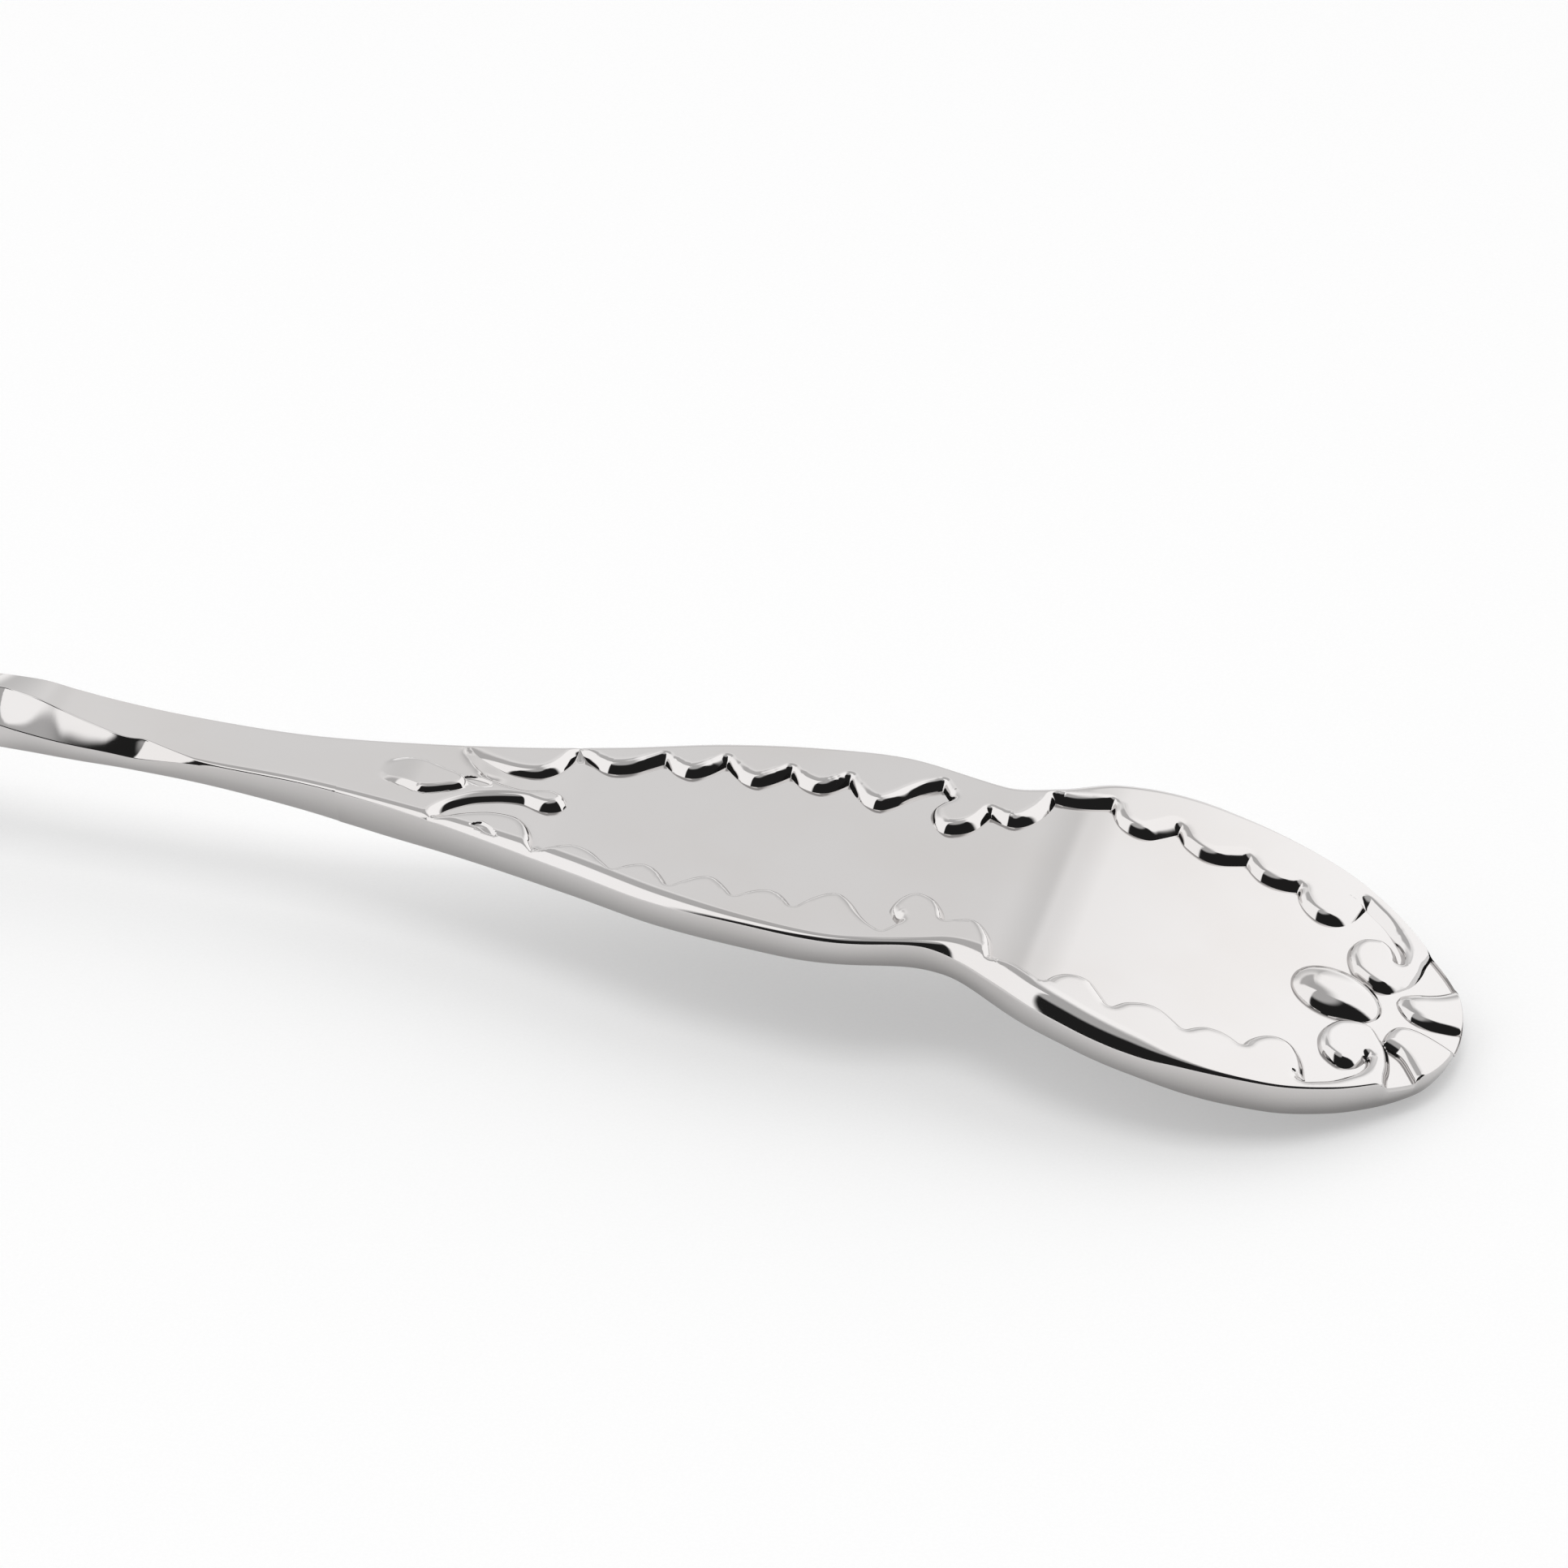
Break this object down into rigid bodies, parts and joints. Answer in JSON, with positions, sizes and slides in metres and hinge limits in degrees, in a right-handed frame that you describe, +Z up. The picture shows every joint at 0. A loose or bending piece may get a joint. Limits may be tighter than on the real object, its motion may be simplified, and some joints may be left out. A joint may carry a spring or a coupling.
{
  "type": "mixing spoon",
  "caption": "Long-handled mixing spoon: stamped oval bowl, twisted square stem and a fiddle-shaped handle end with a sunk panel in a scalloped border.",
  "frame": {"origin": "centre of the box at table height: the spoon lies on z = 0 on the underside of its bowl and the tip of its handle", "axes": "+X along the spoon from the bowl to the handle tip, +Y across it, +Z up with the bowl open upwards"},
  "size_m": [0.33, 0.0272, 0.0102],
  "materials": {
    "polished_handle": "mirror polished, stamped relief, faint lengthwise polishing lines on the panel",
    "polished_stem": "polished twisted bar",
    "polished_bowl": "mirror polished bowl",
    "braze_filler": "pale silver braze filler, ground flush"
  },
  "bodies": {
    "root": {"handle": "polished_handle", "stem": "polished_stem", "bowl": "polished_bowl", "handle_braze_shim": "braze_filler", "bowl_braze_shim": "braze_filler"}
  },
  "joints": []
}
